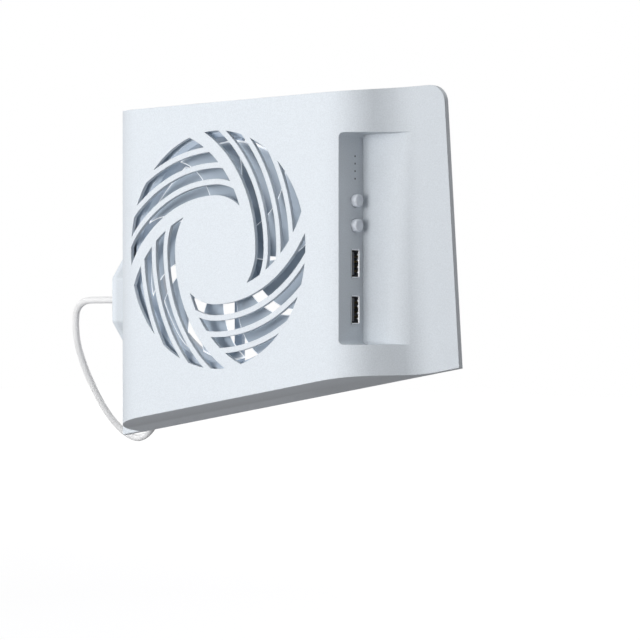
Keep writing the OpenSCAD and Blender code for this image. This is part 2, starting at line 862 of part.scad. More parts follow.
module sleeve_bearing() {
    color("darkgoldenrod")
        on_axis(bearing_front)
            ring(bearing_r, shaft_r + run_gap, bearing_len);
}

module bearing_cap() {
    cap_t = 0.8;
    color("#2a2a2c")
        on_axis(fan_back - cap_t)
            cylinder(r = bearing_r, h = cap_t);
}

pole_arm = 4.5;
pole_shoe = 1.6;
core_eye = tube_r + 2.5;

module stator_core() {
    color("slategray")
    on_axis(core_mid - core_h / 2)
        linear_extrude(core_h)
            difference() {
                union() {
                    circle(core_eye);
                    for (a = [0, 90])
                        rotate(a)
                            square([2 * (core_r - pole_shoe / 2), pole_arm], center = true);
                    difference() {
                        circle(core_r);
                        circle(core_r - pole_shoe);
                        for (a = [45, 135])
                            rotate(a)
                                square([2 * core_r + over, 5], center = true);
                    }
                }
                circle(tube_r + nest);
            }
}

module stator_coils() {
    tall = core_h + 2 * coil_wrap;
    inner = core_eye + 0.3;
    outer = sqrt(pow(core_r - pole_shoe, 2) - pow(pole_arm / 2 + coil_wrap, 2)) - 0.3;
    color("#b5651d")
    for (a = [45:90:315])
        rotate([0, a + 45, 0])
            difference() {
                translate([inner, core_mid - tall / 2, -pole_arm / 2 - coil_wrap])
                    cube([outer - inner, tall, pole_arm + 2 * coil_wrap]);
                translate([0, core_mid - core_h / 2 - nest, -pole_arm / 2 - nest])
                    cube([core_r, core_h + 2 * nest, pole_arm + 2 * nest]);
            }
}

module motor_board() {
    color("darkgreen")
    difference() {
        on_axis(base_y - motor_board_t)
            ring(base_r - 2.5, tube_r + nest, motor_board_t);
        block([tube_r + 1.5, base_y - motor_board_t - over, -1.2],
            [tube_r + 6, base_y + over, 1.2]);
    }
}

module control_board() {
    color("darkgreen")
    difference() {
        block([board_x, board_front, board_low], [board_x + board_w, board_back, board_high]);
        for (s = board_spots)
            on_axis(board_front - over, s)
                cylinder(r = board_screw_r + pass_gap, h = board_t + 2 * over);
    }
}

module control_chip() {
    w = 3.9;
    l = 4.9;
    h = 1.5;
    mid = [board_x + 5, (button_z_lower + button_z_upper) / 2];
    color("#151515")
        block([mid[0] - w / 2, board_front - h, mid[1] - l / 2],
            [mid[0] + w / 2, board_front, mid[1] + l / 2]);
}

// A button cap: domed cap through the wall, flange behind it with a flat that clears the board
module button(z) {
    long = wall + button_proud + nest;
    dome = 0.8;
    flange_r = button_d / 2 + 1.2;
    color("aliceblue")
    along_x([recess_in - nest - flange_t, control_y, z])
        difference() {
            rotate_extrude() {
                square([flange_r, flange_t]);
                square([button_d / 2, flange_t + long - dome]);
                translate([0, flange_t])
                    square([button_d / 2 - dome, long]);
                intersection() {
                    translate([button_d / 2 - dome, flange_t + long - dome])
                        circle(dome);
                    square([button_d, 2 * flange_t + long]);
                }
            }
            block([-button_d, usb_h / 2 - 0.3, -over], [button_d, button_d, flange_t + 0.6]);
        }
}

module button_upper() {
    button(button_z_upper);
}

module button_lower() {
    button(button_z_lower);
}

// A side-push switch on the board, with a bore for its plunger
module switch_body(z) {
    deep = 2.4;
    color("#26282b")
    difference() {
        block([switch_x, control_y - usb_h / 2, z - switch_w / 2],
            [switch_x + switch_t, board_front, z + switch_w / 2]);
        along_x([switch_x + switch_t - deep, control_y, z])
            cylinder(r = plunger_r + 0.1, h = deep + over);
    }
}

module switch_upper() {
    switch_body(button_z_upper);
}

module switch_lower() {
    switch_body(button_z_lower);
}

module plunger(z) {
    held = 1.6;
    color("#3b3d40")
        along_x([switch_x + switch_t - held, control_y, z])
            cylinder(r = plunger_r, h = held + plunger_out);
}

module plunger_upper() {
    plunger(button_z_upper);
}

module plunger_lower() {
    plunger(button_z_lower);
}

module status_leds() {
    w = 1.8;
    deep = 2.2;
    lamp_x = recess_in - nest - lamp_bar_t - nest - deep;
    color("whitesmoke")
    for (i = [0:3])
        block([lamp_x, control_y - w / 2, lamp_z + i * lamp_pitch - w / 2],
            [lamp_x + deep, board_front, lamp_z + i * lamp_pitch + w / 2]);
}

module light_guide() {
    tall = 2.4;
    color("lightgray") {
        block([recess_in - nest - lamp_bar_t, control_y - tall / 2, lamp_z - tall / 2],
            [recess_in - nest, control_y + tall / 2, lamp_z + 3 * lamp_pitch + tall / 2]);
        for (i = [0:3])
            along_x([recess_in - nest - lamp_bar_t / 2, control_y, lamp_z + i * lamp_pitch])
                cylinder(r = lamp_d / 2, h = wall + lamp_bar_t / 2);
    }
}

// Socket shell: a folded tube open towards +X
module usb_shell(z) {
    color("silver")
    translate([usb_x, control_y, z])
        difference() {
            translate([0, -usb_h / 2, -usb_w / 2])
                cube([usb_deep, usb_h, usb_w]);
            translate([-over, -usb_h / 2 + usb_skin, -usb_w / 2 + usb_skin])
                cube([usb_deep + 2 * over, usb_h - 2 * usb_skin, usb_w - 2 * usb_skin]);
        }
}

usb_block = 4;
tongue_t = 1.84;
tongue_w = 11.1;
tongue_len = 9.2;
tongue_off = -1;

// Insulator: a block that fills the rear of the socket, and the tongue that carries the contacts
module usb_tongue(z) {
    inner = [usb_h - 2 * usb_skin - 2 * nest, usb_w - 2 * usb_skin - 2 * nest];
    color("#101012")
    translate([usb_x, control_y, z]) {
        translate([0, -inner[0] / 2, -inner[1] / 2])
            cube([usb_block, inner[0], inner[1]]);
        translate([usb_block - nest, tongue_off - tongue_t / 2, -tongue_w / 2])
            cube([tongue_len + nest, tongue_t, tongue_w]);
    }
}

// Four contacts on the tongue's open side
module usb_contacts(z) {
    t = 0.2;
    color("gold")
    for (k = [-1.5:1:1.5])
        translate([usb_x + usb_block + 0.6, control_y + tongue_off + tongue_t / 2, z + 2.2 * k - 0.5])
            cube([tongue_len - 1.4, t, 1]);
}

module usb_shell_upper() {
    usb_shell(usb_z_upper);
}

module usb_shell_lower() {
    usb_shell(usb_z_lower);
}

module usb_tongue_upper() {
    usb_tongue(usb_z_upper);
}

module usb_tongue_lower() {
    usb_tongue(usb_z_lower);
}

module usb_contacts_upper() {
    usb_contacts(usb_z_upper);
}

module usb_contacts_lower() {
    usb_contacts(usb_z_lower);
}

// A header on the board round one lead's end
module header(z) {
    block([socket_x - socket_w / 2, board_front - socket_h, z - socket_w / 2],
        [socket_x + socket_w / 2, board_front, z + socket_w / 2]);
}

module lead_sockets() {
    color("ivory") {
        difference() {
            header(fan_socket_z);
            along_x([socket_x - socket_w / 2 - over, lead_y, fan_socket_z])
                cylinder(r = fan_lead_r + pass_gap, h = socket_w / 2 + over);
        }
        difference() {
            header(supply_socket_z);
            translate([socket_x, lead_y, supply_socket_z])
                cylinder(r = lead_r + nest, h = socket_w / 2 + over);
        }
    }
}

module fan_lead() {
    color("black")
        tube(fan_lead_route, fan_lead_r);
}

module supply_lead() {
    color("white")
        tube(supply_route, lead_r);
}

module cord_gland() {
    inside = left_x + 5.5;
    color("white")
    along_x([outlet_x - 0.6, cord_y, cord_z])
        difference() {
            union() {
                cylinder(r = gland_r, h = inside - outlet_x + 0.6);
                cylinder(r = cover_front - cord_y - nest, h = 0.6 - nest);
            }
            translate([0, 0, -over])
                cylinder(r = lead_r + nest, h = far);
        }
}

module supply_cord() {
    color("white")
        tube(cord_route, cord_r);
}

module plug_body() {
    color("white")
    along_x(cord_end)
        rotate(90)
            difference() {
                linear_extrude(plug_len)
                    round_rect(plug_w, plug_h, 2);
                translate([0, 0, plug_len - 3])
                    linear_extrude(3 + over)
                        square([plug_shell_w + 2 * nest, plug_shell_h + 2 * nest], center = true);
            }
}

module plug_shell() {
    inner = [plug_shell_w - 2 * plug_skin, plug_shell_h - 2 * plug_skin];
    color("silver")
    along_x([plug_x - 3 + nest, cord_end[1], cord_end[2]])
        rotate(90)
            linear_extrude(plug_shell_len + 3)
                difference() {
                    square([plug_shell_w, plug_shell_h], center = true);
                    square(inner, center = true);
                    for (s = [-1, 1])
                        translate([s * 2.6, plug_shell_h / 2])
                            square([2.2, 0.1], center = true);
                }
}

plug_board_h = 1.9;

module plug_insulator() {
    inner = [plug_shell_w - 2 * plug_skin - 2 * nest, plug_shell_h - 2 * plug_skin - 2 * nest];
    color("#101012")
    along_x([plug_x - 3 + nest, cord_end[1], cord_end[2]])
        rotate(90) {
            linear_extrude(3.5)
                square(inner, center = true);
            translate([-inner[0] / 2, -inner[1] / 2, 3.4])
                cube([inner[0], plug_board_h, plug_shell_len - 0.6]);
        }
}

module plug_contacts() {
    low = -plug_shell_h / 2 + plug_skin + nest + plug_board_h;
    color("gold")
    along_x([plug_x + 1.2, cord_end[1], cord_end[2]])
        rotate(90)
            for (k = [-1.5:1:1.5])
                translate([2.2 * k - 0.5, low, 0])
                    cube([1, 0.15, plug_shell_len - 2.5]);
}

front_shell();
back_cover();
case_screws();
fan_frame();
fan_rotor();
rotor_yoke();
rotor_magnet();
rotor_shaft();
shaft_clip();
sleeve_bearing();
stator_core();
stator_coils();
motor_board();
bearing_cap();
fan_screws();
control_board();
board_screws();
control_chip();
button_upper();
button_lower();
switch_upper();
switch_lower();
plunger_upper();
plunger_lower();
status_leds();
light_guide();
usb_shell_upper();
usb_shell_lower();
usb_tongue_upper();
usb_tongue_lower();
usb_contacts_upper();
usb_contacts_lower();
lead_sockets();
fan_lead();
supply_lead();
cord_gland();
supply_cord();
plug_body();
plug_shell();
plug_insulator();
plug_contacts();
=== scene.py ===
"""Looks of the console cooling fan: finishes, rotor, cord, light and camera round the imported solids.

Lengths are metres in the frame of the solids: the fan axis is Y, the air leaves towards +Y and +Z is up.
"""

import json
import logging
import math
from dataclasses import dataclass
from enum import Enum

import bpy
import numpy as np
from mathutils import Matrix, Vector

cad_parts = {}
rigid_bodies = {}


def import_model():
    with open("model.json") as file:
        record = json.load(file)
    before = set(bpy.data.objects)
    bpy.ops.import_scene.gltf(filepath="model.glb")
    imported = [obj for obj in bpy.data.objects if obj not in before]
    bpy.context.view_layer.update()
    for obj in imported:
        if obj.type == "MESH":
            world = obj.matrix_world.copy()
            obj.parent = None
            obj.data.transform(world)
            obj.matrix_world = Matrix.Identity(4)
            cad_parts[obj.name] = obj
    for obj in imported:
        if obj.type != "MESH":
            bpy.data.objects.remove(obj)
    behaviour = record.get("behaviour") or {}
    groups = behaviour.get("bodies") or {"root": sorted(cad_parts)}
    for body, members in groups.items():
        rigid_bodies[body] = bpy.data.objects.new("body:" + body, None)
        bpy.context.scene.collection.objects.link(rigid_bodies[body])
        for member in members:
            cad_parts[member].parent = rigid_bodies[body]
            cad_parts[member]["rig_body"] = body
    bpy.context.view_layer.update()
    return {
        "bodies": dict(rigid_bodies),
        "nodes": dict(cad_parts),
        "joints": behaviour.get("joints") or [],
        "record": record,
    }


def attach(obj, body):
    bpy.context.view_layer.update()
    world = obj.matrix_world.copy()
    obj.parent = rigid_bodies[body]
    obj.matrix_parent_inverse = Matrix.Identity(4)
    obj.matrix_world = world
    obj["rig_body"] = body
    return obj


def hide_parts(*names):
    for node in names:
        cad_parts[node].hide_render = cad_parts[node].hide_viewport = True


LOG = logging.getLogger("cooling_fan")
MM = 0.001
Colour = tuple[float, float, float]
Vec3 = tuple[float, float, float]


class Axis(Enum):
    """Direction along which a finish was brushed, wound or stacked."""

    X = 0
    Y = 1
    Z = 2


class Sock:
    """An output socket, whose arithmetic adds Math nodes to its own tree."""

    def __init__(self, sheet: "NodeSheet", socket: bpy.types.NodeSocket) -> None:
        """Keep the socket with the sheet that it stands on."""
        self.sheet = sheet
        self.socket = socket

    def _math(self, operation: str, *values: "Sock | float") -> "Sock":
        """Add one Math node on the given values."""
        return self.sheet.node("ShaderNodeMath", {"operation": operation}, dict(enumerate(values)))

    def __add__(self, other: "Sock | float") -> "Sock":
        """Self plus other."""
        return self._math("ADD", self, other)

    def __radd__(self, other: float) -> "Sock":
        """Other plus self."""
        return self._math("ADD", other, self)

    def __sub__(self, other: "Sock | float") -> "Sock":
        """Self minus other."""
        return self._math("SUBTRACT", self, other)

    def __rsub__(self, other: float) -> "Sock":
        """Other minus self."""
        return self._math("SUBTRACT", other, self)

    def __mul__(self, other: "Sock | float") -> "Sock":
        """Self times other."""
        return self._math("MULTIPLY", self, other)

    def __rmul__(self, other: float) -> "Sock":
        """Other times self."""
        return self._math("MULTIPLY", other, self)

    def either(self, other: "Sock | float") -> "Sock":
        """The larger of self and other."""
        return self._math("MAXIMUM", self, other)

    def wave(self, pitch: float) -> "Sock":
        """A sine from 0 to 1 that repeats once per pitch."""
        return self._math("SINE", self * (2 * math.pi / pitch)) * 0.5 + 0.5

    def spread(self, low: float, high: float) -> "Sock":
        """Self mapped so that low gives 0 and high gives 1, clamped between them."""
        return self.sheet.node("ShaderNodeMapRange", {"clamp": True},
                               {"Value": self, "From Min": low, "From Max": high})


class NodeSheet:
    """The node tree of a material or a world, written as expressions."""

    # Sockets of a Mix node that is set to colours
    FACTOR, FIRST, SECOND, RESULT = 0, 6, 7, 2

    def __init__(self, holder: bpy.types.Material | bpy.types.World) -> None:
        """Empty the holder's tree.

        Args:
            holder: the material or world to write.
        """
        holder.use_nodes = True
        self.holder = holder
        self.tree = holder.node_tree
        self.tree.nodes.clear()

    def node(self, kind: str, settings: dict | None = None, inputs: dict | None = None,
             output: int | str = 0) -> Sock:
        """Add a node of any type.

        Args:
            kind: the node's type name.
            settings: properties of the node, set before its sockets.
            inputs: values or links of its sockets, by name or number.
            output: the output that is handed back.

        Returns:
            The chosen output.
        """
        made = self.tree.nodes.new(kind)
        for name, value in (settings or {}).items():
            setattr(made, name, value)
        for name, value in (inputs or {}).items():
            if isinstance(value, Sock):
                self.tree.links.new(value.socket, made.inputs[name])
            else:
                made.inputs[name].default_value = value
        return Sock(self, made.outputs[output])

    def place(self) -> Sock:
        """Object coordinates, which are the frame's own metres."""
        return self.node("ShaderNodeTexCoord", output="Object")

    def along(self, axis: Axis) -> Sock:
        """One of the three Object coordinates."""
        return self.node("ShaderNodeSeparateXYZ", inputs={0: self.place()}, output=axis.value)

    def noise(self, size: float, detail: float = 2.0, stretch: Vec3 = (1.0, 1.0, 1.0)) -> Sock:
        """Noise whose spots measure about size, drawn out along an axis whose stretch is below 1."""
        at = self.node("ShaderNodeMapping", inputs={"Vector": self.place(), "Scale": stretch})
        return self.node("ShaderNodeTexNoise", inputs={"Vector": at, "Scale": 1 / size, "Detail": detail})

    def mix(self, factor: Sock, first: Colour | Sock, second: Colour | Sock) -> Sock:
        """A colour from first, at factor 0, to second, at factor 1."""
        ends = [c if isinstance(c, Sock) else (*c, 1.0) for c in (first, second)]
        return self.node("ShaderNodeMix", {"data_type": "RGBA"},
                         {self.FACTOR: factor, self.FIRST: ends[0], self.SECOND: ends[1]}, self.RESULT)

    def dim(self, colour: Sock, tone: Sock) -> Sock:
        """A colour times a tone from 0 to 1."""
        return self.node("ShaderNodeMix", {"data_type": "RGBA", "blend_type": "MULTIPLY"},
                         {self.FACTOR: 1.0, self.FIRST: colour, self.SECOND: tone}, self.RESULT)

    def bump(self, height: Sock, depth: float, edge: float = 0.0) -> Sock:
        """A normal that follows a relief.

        Args:
            height: the relief, from 0 to 1.
            depth: its real height.
            edge: radius by which edges look rounded, or 0.

        Returns:
            The normal.
        """
        inputs = {"Height": height, "Distance": depth}
        if edge:
            inputs["Normal"] = self.node("ShaderNodeBevel", {"samples": 6}, {"Radius": edge})
        return self.node("ShaderNodeBump", inputs=inputs)

    def surface(self, **inputs: object) -> bpy.types.Material:
        """End the tree in one Principled shader.

        Args:
            inputs: its sockets, with underscores for the spaces in their names.

        Returns:
            The finished material.
        """
        named = {name.replace("_", " "): value for name, value in inputs.items()}
        shader = self.node("ShaderNodeBsdfPrincipled", inputs=named)
        self.node_output(shader)
        return self.holder

    def node_output(self, shader: Sock) -> None:
        """Link a shader to the tree's output."""
        kind = "World" if isinstance(self.holder, bpy.types.World) else "Material"
        made = self.tree.nodes.new(f"ShaderNodeOutput{kind}")
        self.tree.links.new(shader.socket, made.inputs["Surface"])


def shade(colour: Colour, factor: float) -> Colour:
    """A colour made lighter or darker by one factor."""
    return tuple(min(1.0, c * factor) for c in colour)


@dataclass(frozen=True)
class MouldedPlastic:
    """Injection-moulded plastic: faint mottling, spark-eroded grain, softened edges and, where asked for,
    painted shade.
    """

    name: str
    colour: Colour
    roughness: float = 0.45
    grain: float = 0.7 * MM
    relief: float = 0.02 * MM
    mottle: float = 0.02
    edge: float = 0.4 * MM
    coat: float = 0.0
    speckle: float = 0.0
    painted_shade: float = 0.0

    # Painted shade grows from none to its full amount: back from the front face, towards the wing, and on the
    # rounded end
    FACE_Y = (-24.6 * MM, -8 * MM)
    WING_X = (20 * MM, 60 * MM)
    LIMB_X = (-84 * MM, -82 * MM)
    LIMB_Y = (-5 * MM, -9 * MM)

    def make(self) -> bpy.types.Material:
        """Colour and gloss drift over centimetres, and the grain is a fine bump.

        Speckle darkens single grains. Painted shade darkens the colour back from the front face, on the
        wing's side and on the rounded end, standing in for less light reaching there.

        Returns:
            The material.
        """
        sheet = NodeSheet(bpy.data.materials.new(self.name))
        drift = sheet.noise(30 * MM)
        fine = sheet.noise(self.grain, 3.0)
        base = sheet.mix(drift * 0.7 + fine * 0.3, shade(self.colour, 1 - self.mottle),
                         shade(self.colour, 1 + self.mottle))
        if self.speckle:
            base = sheet.dim(base, 1.0 - fine.spread(0.3, 0.7) * self.speckle)
        # Painted shade: the colour is darkened back from the front face, towards the wing and on the rounded
        # end
        if self.painted_shade:
            x, y = sheet.along(Axis.X), sheet.along(Axis.Y)
            painted_limb_shade = x.spread(*self.LIMB_X) * y.spread(*self.LIMB_Y)
            back = y.spread(*self.FACE_Y) * x.spread(*self.WING_X).either(painted_limb_shade)
            base = sheet.dim(base, 1.0 - back * self.painted_shade)
        return sheet.surface(Base_Color=base, Roughness=self.roughness - 0.06 + drift * 0.06 + fine * 0.06,
                             Coat_Weight=self.coat, Coat_Roughness=0.12,
                             Normal=sheet.bump(fine, self.relief, self.edge))


@dataclass(frozen=True)
class RotorPlastic:
    """Clear-toned glossy plastic with a painted highlight along the blades' thin edges, lighter and glowing
    though it is no lamp.
    """

    name: str
    colour: Colour
    rim: Colour
    # Strength of the painted glow on the edges
    glow: float = 0.55

    def make(self) -> bpy.types.Material:
        """A point attribute paints a highlight on the edges, as lighter colour and a glow, and spots drawn
        out along the axis vary tone and gloss.

        Returns:
            The material.
        """
        sheet = NodeSheet(bpy.data.materials.new(self.name))
        rim = sheet.node("ShaderNodeAttribute", {"attribute_name": "rim"}, output="Fac")
        drift = sheet.noise(12 * MM, 2.0, (1.0, 0.3, 1.0))
        body = sheet.mix(drift, shade(self.colour, 0.95), shade(self.colour, 1.05))
        # Painted highlight: the edges lighter and glowing, standing in for light caught along them
        painted_glow = sheet.mix(rim, (0.0, 0.0, 0.0), self.rim)
        return sheet.surface(Base_Color=sheet.mix(rim, body, self.rim), Roughness=0.48 + drift * 0.08,
                             Coat_Weight=0.05, Coat_Roughness=0.2,
                             Emission_Color=painted_glow, Emission_Strength=self.glow,
                             Normal=sheet.bump(sheet.noise(1.5 * MM), 0.01 * MM, 0.2 * MM))


@dataclass(frozen=True)
class Metal:
    """Drawn, turned or plated metal with fine marks along one direction."""

    name: str
    colour: Colour
    roughness: float = 0.3
    marks: Axis = Axis.X
    edge: float = 0.1 * MM
    drawn: float = 0.06

    def make(self) -> bpy.types.Material:
        """Noise drawn out along the marks moves gloss, tone and a shallow bump.

        Returns:
            The material.
        """
        sheet = NodeSheet(bpy.data.materials.new(self.name))
        stretch = tuple(self.drawn if axis is self.marks else 1.0 for axis in Axis)
        lines = sheet.noise(0.25 * MM, 3.0, stretch)
        stain = sheet.noise(6 * MM)
        base = sheet.mix(lines * 0.6 + stain * 0.4, shade(self.colour, 0.86), shade(self.colour, 1.1))
        return sheet.surface(Base_Color=base, Metallic=1.0,
                             Roughness=self.roughness - 0.08 + lines * 0.1 + stain * 0.08,
                             Normal=sheet.bump(lines, 0.004 * MM, self.edge))


@dataclass(frozen=True)
class Layers:
    """Thin layers stacked along one direction, as laminations or turns of enamelled wire."""

    name: str
    colour: Colour
    gap: Colour
    pitch: float
    axis: Axis
    metallic: float = 1.0
    roughness: float = 0.35

    def make(self) -> bpy.types.Material:
        """A sine along the axis darkens and sinks the joint between two layers.

        Returns:
            The material.
        """
        sheet = NodeSheet(bpy.data.materials.new(self.name))
        drift = sheet.noise(2 * MM)
        ridge = (sheet.along(self.axis) + drift * (0.15 * self.pitch)).wave(self.pitch)
        base = sheet.mix(ridge.spread(0.05, 0.6), self.gap, self.colour)
        return sheet.surface(Base_Color=base, Metallic=self.metallic, Roughness=self.roughness + drift * 0.15,
                             Normal=sheet.bump(ridge, 0.3 * self.pitch))


@dataclass(frozen=True)
class CircuitBoard:
    """Solder resist over copper tracks."""

    name: str
    resist: Colour
    track: Colour
    spacing: float = 5 * MM

    def make(self) -> bpy.types.Material:
        """Cell borders of a coarse Voronoi stand for the tracks, raised a little.

        Returns:
            The material.
        """
        sheet = NodeSheet(bpy.data.materials.new(self.name))
        lines = sheet.node("ShaderNodeTexVoronoi", {"feature": "DISTANCE_TO_EDGE"},
                           {"Vector": sheet.place(), "Scale": 1 / self.spacing}, output="Distance")
        track = 1.0 - lines.spread(0.03, 0.08)
        base = sheet.mix(track, self.resist, self.track)
        return sheet.surface(Base_Color=base, Roughness=0.35 + sheet.noise(3 * MM) * 0.15, Coat_Weight=0.5,
                             Normal=sheet.bump(track, 0.03 * MM, 0.1 * MM))


@dataclass(frozen=True)
class CordSheath:
    """Soft white cord sheath that lets a little light through, with faint draw marks along its length."""

    name: str
    colour: Colour
    marks: Vec3 = (12.0, 60.0, 1.0)
    through: float = 2.5 * MM

    def make(self) -> bpy.types.Material:
        """Noise on the UV map varies the gloss: its first value runs round the cord, its second along it.

        Returns:
            The material.
        """
        sheet = NodeSheet(bpy.data.materials.new(self.name))
        at = sheet.node("ShaderNodeUVMap", {"uv_map": "run"})
        turn = sheet.node("ShaderNodeMapping", inputs={"Vector": at, "Scale": self.marks})
        drawn = sheet.node("ShaderNodeTexNoise", inputs={"Vector": turn, "Scale": 1.0, "Detail": 1.0})
        drift = sheet.noise(15 * MM)
        base = sheet.mix(drift, shade(self.colour, 0.97), shade(self.colour, 1.02))
        return sheet.surface(Base_Color=base, Roughness=0.42 + drawn * 0.1, Subsurface_Weight=0.6,
                             Subsurface_Radius=(1.0, 1.0, 1.0), Subsurface_Scale=self.through)


class Finishes:
    """The part's finishes, by slot of the record or by a name of their own, each made once."""

    KINDS = {
        # The shell's colour carries painted shade, darker back from its front face, on the wing's side and on
        # the rounded end
        "shell_plastic": MouldedPlastic("shell_satin", (0.84, 0.895, 0.95), 0.45, 0.6 * MM, 0.08 * MM,
                                        speckle=0.1, painted_shade=0.17),
        "cover_plastic": MouldedPlastic("cover_satin", (0.76, 0.80, 0.86), 0.5, 0.6 * MM, 0.03 * MM),
        "frame_plastic": MouldedPlastic("frame_satin", (0.66, 0.75, 0.86), 0.5, 0.8 * MM, 0.03 * MM),
        # The rotor's second colour is the painted highlight along the blade edges
        "rotor_plastic": RotorPlastic("rotor_gloss", (0.44, 0.505, 0.578), (0.93, 0.95, 0.97)),
        "steel": Metal("turned_steel", (0.62, 0.63, 0.65), 0.28, Axis.Y),
        "dark_steel": Metal("black_oxide_steel", (0.09, 0.09, 0.1), 0.42, Axis.Y),
        "magnet": MouldedPlastic("ferrite", (0.035, 0.035, 0.038), 0.7, 0.3 * MM, 0.04 * MM, 0.2),
        "bronze": MouldedPlastic("sintered_bronze", (0.42, 0.28, 0.12), 0.45, 0.2 * MM, 0.04 * MM, 0.15),
        "copper": Layers("copper_winding", (0.62, 0.30, 0.12), (0.16, 0.06, 0.02), 0.3 * MM, Axis.Y),
        "core": Layers("core_laminations", (0.42, 0.43, 0.45), (0.08, 0.08, 0.09), 0.5 * MM, Axis.Y),
        "board": CircuitBoard("board_resist", (0.012, 0.085, 0.035), (0.03, 0.16, 0.07)),
        "black_plastic": MouldedPlastic("black_matt", (0.022, 0.022, 0.025), 0.5, 0.4 * MM, 0.03 * MM, 0.15,
                                        0.15 * MM),
        "nylon": MouldedPlastic("natural_nylon", (0.74, 0.73, 0.66), 0.4, 1.2 * MM, 0.02 * MM, 0.04,
                                0.15 * MM),
        "lamp": MouldedPlastic("lamp_resin", (0.70, 0.70, 0.62), 0.15, 2 * MM, 0.005 * MM, 0.05, 0.1 * MM,
                               0.6),
        "clear_plastic": MouldedPlastic("smoked_resin", (0.055, 0.06, 0.065), 0.12, 2 * MM, 0.005 * MM, 0.1,
                                        0.1 * MM, 0.6),
        "tongue": MouldedPlastic("tongue_grey", (0.085, 0.088, 0.095), 0.5, 0.4 * MM, 0.02 * MM, 0.1,
                                 0.1 * MM),
        "plated_steel": Metal("nickel_plate", (0.78, 0.79, 0.80), 0.2, Axis.X, 0.15 * MM),
        "gold": Metal("gold_flash", (0.70, 0.52, 0.22), 0.25, Axis.X, 0.05 * MM),
        "cord": CordSheath("cord_sheath", (0.93, 0.93, 0.935)),
        "grip": MouldedPlastic("grip_satin", (0.84, 0.855, 0.88), 0.45, 0.5 * MM, 0.03 * MM),
        "button_plastic": MouldedPlastic("button_satin", (0.78, 0.82, 0.88), 0.38, 0.6 * MM, 0.015 * MM),
    }

    def __init__(self) -> None:
        """Start with no material made."""
        self.made: dict[str, bpy.types.Material] = {}

    def get(self, name: str) -> bpy.types.Material:
        """The material of a finish, made when it is first asked for."""
        if name not in self.made:
            self.made[name] = self.KINDS[name].make()
        return self.made[name]


@dataclass
class Shape:
    """Points and triangles of one surface, with an optional edge value for a painted highlight and a UV pair
    for each point.
    """

    points: np.ndarray
    triangles: np.ndarray
    rim: np.ndarray | None = None
    run: np.ndarray | None = None

    # Points closer than this are merged
    WELD = 0.001 * MM

    @staticmethod
    def grid(points: np.ndarray, closed: bool, rim: np.ndarray | None = None) -> "Shape":
        """Skin of a grid of points, two triangles for each cell.

        Args:
            points: rows by columns by 3, with outward normals along rows cross columns.
            closed: True where the last column joins the first.
            rim: rows by columns of a value for each point.

        Returns:
            The skin.
        """
        rows, columns = points.shape[:2]
        index = np.arange(rows * columns).reshape(rows, columns)
        if closed:
            index = np.hstack([index, index[:, :1]])
        a, b, c, d = index[:-1, :-1], index[1:, :-1], index[1:, 1:], index[:-1, 1:]
        halves = [np.stack([a, b, c], -1), np.stack([a, c, d], -1)]
        cells = np.concatenate([half.reshape(-1, 3) for half in halves])
        return Shape(points.reshape(-1, 3), cells, None if rim is None else rim.reshape(-1))

    @staticmethod
    def join(shapes: list["Shape"]) -> "Shape":
        """Several shapes as one.

        Args:
            shapes: the shapes, whose edge value is 0 where they have none.

        Returns:
            One shape, in which each keeps its own points.
        """
        starts = np.cumsum([0] + [len(s.points) for s in shapes[:-1]])
        rims = [np.zeros(len(s.points)) if s.rim is None else s.rim for s in shapes]
        triangles = [s.triangles + start for s, start in zip(shapes, starts)]
        return Shape(np.vstack([s.points for s in shapes]), np.vstack(triangles), np.concatenate(rims))

    @staticmethod
    def of_node(node: bpy.types.Object) -> "Shape":
        """The loose triangles of a solid's mesh.

        Args:
            node: the solid's object.

        Returns:
            A shape with a copy of its points.
        """
        mesh = node.data
        points = np.empty(3 * len(mesh.vertices), np.float32)
        mesh.vertices.foreach_get("co", points)
        corners = np.empty(len(mesh.loops), np.int32)
        mesh.loops.foreach_get("vertex_index", corners)
        return Shape(points.reshape(-1, 3).astype(float), corners.reshape(-1, 3))

    def turned(self, angle: float) -> "Shape":
        """The shape turned about the fan axis.

        Args:
            angle: radians from +Z towards +X.

        Returns:
            The turned shape.
        """
        c, s = math.cos(angle), math.sin(angle)
        matrix = np.array([[c, 0.0, s], [0.0, 1.0, 0.0], [-s, 0.0, c]])
        return Shape(self.points @ matrix.T, self.triangles, self.rim)

    def welded(self) -> "Shape":
        """The shape with close points merged and empty triangles dropped.

        Returns:
            The merged shape.
        """
        keys = np.round(self.points / self.WELD).astype(np.int64)
        _, first, index = np.unique(keys, axis=0, return_index=True, return_inverse=True)
        cells = index.reshape(-1)[self.triangles]
        full = (cells[:, 0] != cells[:, 1]) & (cells[:, 1] != cells[:, 2]) & (cells[:, 2] != cells[:, 0])
        return Shape(self.points[first], cells[full], None if self.rim is None else self.rim[first],
                     None if self.run is None else self.run[first])

    def piece(self, name: str, material: bpy.types.Material, sharp: float) -> bpy.types.Object:
        """A smooth-shaded object of the shape.

        Args:
            name: the object's name.
            material: its finish.
            sharp: angle in degrees above which an edge stays sharp.

        Returns:
            The object, linked to the scene, at the origin.
        """
        tidy = self.welded()
        mesh = bpy.data.meshes.new(name)
        mesh.from_pydata(tidy.points, [], tidy.triangles.tolist())
        if tidy.rim is not None:
            rim = mesh.attributes.new("rim", "FLOAT", "POINT")
            rim.data.foreach_set("value", tidy.rim.astype(np.float32))
        if tidy.run is not None:
            corners = np.empty(len(mesh.loops), np.int32)
            mesh.loops.foreach_get("vertex_index", corners)
            run = mesh.uv_layers.new(name="run")
            run.data.foreach_set("uv", tidy.run[corners].astype(np.float32).ravel())
        mesh.materials.append(material)
        mesh.shade_smooth()
        mesh.set_sharp_from_angle(angle=math.radians(sharp))
        made = bpy.data.objects.new(name, mesh)
        bpy.context.scene.collection.objects.link(made)
        return made


